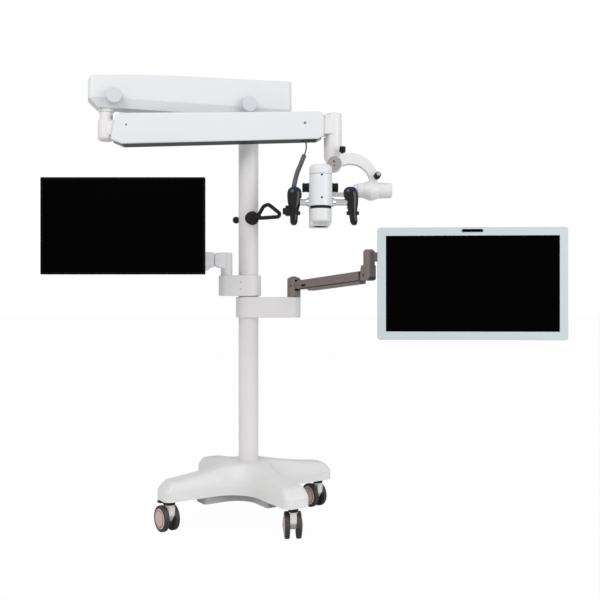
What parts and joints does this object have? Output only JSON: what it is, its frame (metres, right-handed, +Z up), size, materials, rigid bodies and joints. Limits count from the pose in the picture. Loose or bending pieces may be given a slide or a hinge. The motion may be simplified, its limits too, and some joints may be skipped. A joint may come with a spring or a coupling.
{
  "type": "surgical microscope",
  "caption": "floor-standing surgical microscope: wheeled four-lobed base, column with two swinging displays, two-part balanced arm and a tilting microscope head with grips",
  "frame": {"origin": "on the column's axis at floor level", "axes": "+X towards the side the microscope hangs on, -Y towards the user facing the displays, +Z up"},
  "size_m": [1.8853, 0.8092, 1.7637],
  "materials": {
    "shell_white": "satin moulded plastic",
    "tray_white": "satin moulded plastic",
    "metal_white": "smooth satin paint",
    "frame_grey": "matt powder coat",
    "ballast_grey": "painted casting",
    "base_white": "satin moulded plastic",
    "black_rubber": "matt",
    "black_plastic": "fine texture",
    "grip_black": "polished",
    "cap_grey": "satin",
    "disc_grey": "satin",
    "bright_bar": "polished",
    "steel": "turned",
    "arm_silver": "bead blasted",
    "bezel_light": "pale blue grey",
    "bezel_black": "fine texture",
    "screen_glass": "dark display glass",
    "tyre_grey": "matt",
    "fork_grey": "satin",
    "lens_glass": "coated",
    "cable_grey": "corrugated"
  },
  "bodies": {
    "stand": {"base_cover": "base_white", "base_frame": "frame_grey", "ballast_tray": "ballast_grey", "power_inlet": "black_plastic", "column": "metal_white", "column_handle": "black_rubber", "left_bracket": "metal_white", "right_bracket": "metal_white"},
    "grip_screw": {"handle_knob": "black_plastic"},
    "extension_arm": {"arm_cover_upper": "shell_white", "arm_cover_lower": "tray_white", "arm_beam": "metal_white", "arm_caps": "cap_grey"},
    "elbow": {"elbow_knuckle": "metal_white"},
    "spring_arm": {"spring_arm_cover": "shell_white", "spring_arm_underside": "black_plastic", "main_link": "steel", "gas_spring": "frame_grey"},
    "parallelogram": {"parallel_link": "steel"},
    "front_joint": {"front_knuckle": "metal_white", "head_cable": "cable_grey"},
    "drop": {"drop_arm": "metal_white"},
    "curved_arm": {"c_arm": "metal_white", "pivot_cap": "disc_grey", "tilt_housing": "metal_white"},
    "upper_lock": {"upper_lock_knob": "black_plastic"},
    "lower_lock": {"lower_lock_knob": "black_plastic"},
    "head": {"head_body": "metal_white", "front_tube": "shell_white", "objective_ring": "black_plastic", "objective_lens": "lens_glass", "handle_bars": "bright_bar"},
    "magnifier": {"magnification_knobs": "black_plastic"},
    "left_grip": {"left_handle": "grip_black"},
    "right_grip": {"right_handle": "grip_black"},
    "binocular": {"binocular_tube": "shell_white"},
    "left_ocular": {"left_eyepiece": "black_rubber"},
    "right_ocular": {"right_eyepiece": "black_rubber"},
    "left_swivel_body": {"left_swivel": "metal_white"},
    "left_arm_body": {"left_arm": "tray_white"},
    "left_knuckle_body": {"left_knuckle": "metal_white"},
    "left_head_body": {"left_tilt_head": "black_plastic"},
    "left_display": {"left_monitor": "bezel_black", "left_screen": "screen_glass"},
    "right_swivel_body": {"right_swivel": "arm_silver"},
    "right_arm_body": {"right_arm": "arm_silver"},
    "right_knuckle_body": {"right_knuckle": "arm_silver"},
    "right_forearm_body": {"right_forearm": "arm_silver"},
    "right_display": {"right_monitor": "bezel_light", "right_screen": "screen_glass"},
    "rear_right_swivel": {"rear_right_fork": "fork_grey"},
    "rear_right_roll": {"rear_right_wheels": "tyre_grey"},
    "rear_left_swivel": {"rear_left_fork": "fork_grey"},
    "rear_left_roll": {"rear_left_wheels": "tyre_grey"},
    "front_left_swivel": {"front_left_fork": "fork_grey"},
    "front_left_roll": {"front_left_wheels": "tyre_grey"},
    "front_right_swivel": {"front_right_fork": "fork_grey"},
    "front_right_roll": {"front_right_wheels": "tyre_grey"},
    "front_left_pedal": {"front_left_brake": "black_plastic"},
    "front_right_pedal": {"front_right_brake": "black_plastic"}
  },
  "joints": [
    {"name": "rear_right_swivel_turn", "type": "hinge", "parent": "stand", "child": "rear_right_swivel", "pos_m": [0.28485, 0.18287, 0.11], "axis": [0, 0, 1], "continuous": true},
    {"name": "rear_right_wheel_roll", "type": "hinge", "parent": "rear_right_swivel", "child": "rear_right_roll", "pos_m": [0.268, 0.20523, 0.05], "axis": [-0.7986, -0.6018, 0], "continuous": true},
    {"name": "rear_left_swivel_turn", "type": "hinge", "parent": "stand", "child": "rear_left_swivel", "pos_m": [-0.18287, 0.28485, 0.11], "axis": [0, 0, 1], "continuous": true},
    {"name": "rear_left_wheel_roll", "type": "hinge", "parent": "rear_left_swivel", "child": "rear_left_roll", "pos_m": [-0.20712, 0.29885, 0.05], "axis": [-0.5, -0.866, 0], "continuous": true},
    {"name": "front_left_swivel_turn", "type": "hinge", "parent": "stand", "child": "front_left_swivel", "pos_m": [-0.28485, -0.18287, 0.11], "axis": [0, 0, 1], "continuous": true},
    {"name": "front_left_wheel_roll", "type": "hinge", "parent": "front_left_swivel", "child": "front_left_roll", "pos_m": [-0.3017, -0.16051, 0.05], "axis": [-0.7986, -0.6018, 0], "continuous": true},
    {"name": "front_left_brake_press", "type": "hinge", "parent": "front_left_swivel", "child": "front_left_pedal", "pos_m": [-0.29749, -0.1661, 0.092], "axis": [-0.7986, -0.6018, 0], "range_deg": [0, 10]},
    {"name": "front_right_swivel_turn", "type": "hinge", "parent": "stand", "child": "front_right_swivel", "pos_m": [0.18287, -0.28485, 0.11], "axis": [0, 0, 1], "continuous": true},
    {"name": "front_right_wheel_roll", "type": "hinge", "parent": "front_right_swivel", "child": "front_right_roll", "pos_m": [0.18043, -0.25696, 0.05], "axis": [-0.9962, -0.0872, 0], "continuous": true},
    {"name": "front_right_brake_press", "type": "hinge", "parent": "front_right_swivel", "child": "front_right_pedal", "pos_m": [0.18104, -0.26393, 0.092], "axis": [-0.9962, -0.0872, 0], "range_deg": [0, 10]},
    {"name": "grip_screw_turn", "type": "hinge", "parent": "stand", "child": "grip_screw", "pos_m": [-0.045, 0, 1.205], "axis": [-1, 0, 0], "range_deg": [-90, 90]},
    {"name": "arm_turn", "type": "hinge", "parent": "stand", "child": "extension_arm", "pos_m": [0, 0, 1.65], "axis": [0, 0, 1], "range_deg": [-60, 150]},
    {"name": "elbow_turn", "type": "hinge", "parent": "extension_arm", "child": "elbow", "pos_m": [-0.53696, -0.14992, 1.6], "axis": [0, 0, 1], "range_deg": [-150, 0]},
    {"name": "spring_lift", "type": "hinge", "parent": "elbow", "child": "spring_arm", "pos_m": [-0.45092, -0.14208, 1.546], "axis": [-0.0908, 0.9959, 0], "range_deg": [-1, 12]},
    {"name": "parallel_follow", "type": "hinge", "parent": "elbow", "child": "parallelogram", "pos_m": [-0.45092, -0.14208, 1.506], "axis": [-0.0908, 0.9959, 0], "range_deg": [-1, 12]},
    {"name": "front_level", "type": "hinge", "parent": "spring_arm", "child": "front_joint", "pos_m": [0.22707, -0.08029, 1.57], "axis": [-0.0908, 0.9959, 0], "range_deg": [-12, 1]},
    {"name": "drop_turn", "type": "hinge", "parent": "front_joint", "child": "drop", "pos_m": [0.34, -0.07, 1.527], "axis": [0, 0, 1], "range_deg": [-10, 100], "deforming": ["head_cable"]},
    {"name": "side_tilt", "type": "hinge", "parent": "drop", "child": "curved_arm", "pos_m": [0.34, -0.102, 1.41], "axis": [0, 1, 0], "range_deg": [-20, 20]},
    {"name": "upper_lock_turn", "type": "hinge", "parent": "curved_arm", "child": "upper_lock", "pos_m": [0.371, -0.12015, 1.449], "axis": [0.0501, -0.3008, 0.9524], "range_deg": [-90, 90]},
    {"name": "lower_lock_turn", "type": "hinge", "parent": "curved_arm", "child": "lower_lock", "pos_m": [0.5, -0.14, 1.353], "axis": [0.2504, -0.8814, 0.4006], "range_deg": [-90, 90]},
    {"name": "head_tilt", "type": "hinge", "parent": "curved_arm", "child": "head", "pos_m": [0.478, -0.12115, 1.307], "axis": [1, 0, 0], "range_deg": [-10, 35]},
    {"name": "magnification_turn", "type": "hinge", "parent": "head", "child": "magnifier", "pos_m": [0.286, -0.11, 1.32], "axis": [1, 0, 0], "range_deg": [-135, 135]},
    {"name": "left_grip_turn", "type": "hinge", "parent": "head", "child": "left_grip", "pos_m": [0.208, -0.19, 1.253], "axis": [1, 0, 0], "range_deg": [-10, 45]},
    {"name": "right_grip_turn", "type": "hinge", "parent": "head", "child": "right_grip", "pos_m": [0.386, -0.19, 1.253], "axis": [1, 0, 0], "range_deg": [-10, 45]},
    {"name": "binocular_tilt", "type": "hinge", "parent": "head", "child": "binocular", "pos_m": [0.286, 0.002, 1.3], "axis": [1, 0, 0], "range_deg": [-45, 0]},
    {"name": "left_ocular_slide", "type": "slide", "parent": "binocular", "child": "left_ocular", "axis": [-1, 0, 0], "range_m": [0, 0.01]},
    {"name": "right_ocular_slide", "type": "slide", "parent": "binocular", "child": "right_ocular", "axis": [1, 0, 0], "range_m": [0, 0.01]},
    {"name": "left_swing", "type": "hinge", "parent": "stand", "child": "left_swivel_body", "pos_m": [-0.087, -0.016, 1.004], "axis": [0, 0, 1], "range_deg": [-60, 45]},
    {"name": "left_lift", "type": "hinge", "parent": "left_swivel_body", "child": "left_arm_body", "pos_m": [-0.12581, -0.03206, 1.04], "axis": [0.3824, -0.924, 0], "range_deg": [-10, 10]},
    {"name": "left_level", "type": "hinge", "parent": "left_arm_body", "child": "left_knuckle_body", "pos_m": [-0.41558, -0.152, 1.052], "axis": [0.3824, -0.924, 0], "range_deg": [-10, 10]},
    {"name": "left_turn", "type": "hinge", "parent": "left_knuckle_body", "child": "left_head_body", "pos_m": [-0.447, -0.165, 1.1], "axis": [0, 0, 1], "range_deg": [-40, 20]},
    {"name": "left_tilt", "type": "hinge", "parent": "left_head_body", "child": "left_display", "pos_m": [-0.447, -0.196, 1.157], "axis": [1, 0, 0], "range_deg": [-15, 15]},
    {"name": "right_swing", "type": "hinge", "parent": "stand", "child": "right_swivel_body", "pos_m": [0.183, -0.015, 0.895], "axis": [0, 0, 1], "range_deg": [-20, 60]},
    {"name": "right_lift", "type": "hinge", "parent": "right_swivel_body", "child": "right_arm_body", "pos_m": [0.18956, -0.02255, 0.94], "axis": [0.7545, 0.6563, 0], "range_deg": [-10, 10]},
    {"name": "right_level", "type": "hinge", "parent": "right_arm_body", "child": "right_knuckle_body", "pos_m": [0.45175, -0.32396, 0.972], "axis": [0.7545, 0.6563, 0], "range_deg": [-10, 10]},
    {"name": "right_forearm_turn", "type": "hinge", "parent": "right_knuckle_body", "child": "right_forearm_body", "pos_m": [0.457, -0.33, 1.008], "axis": [0, 0, 1], "range_deg": [-40, 60]},
    {"name": "right_tilt", "type": "hinge", "parent": "right_forearm_body", "child": "right_display", "pos_m": [0.81, -0.363, 0.94], "axis": [0.9986, -0.0523, 0], "range_deg": [-15, 15]}
  ],
  "couplings": [
    {"joint": "parallel_follow", "follows": "spring_lift", "ratio": 1},
    {"joint": "front_level", "follows": "spring_lift", "ratio": -1},
    {"joint": "right_ocular_slide", "follows": "left_ocular_slide", "ratio": 1},
    {"joint": "left_level", "follows": "left_lift", "ratio": -1},
    {"joint": "right_level", "follows": "right_lift", "ratio": -1}
  ]
}
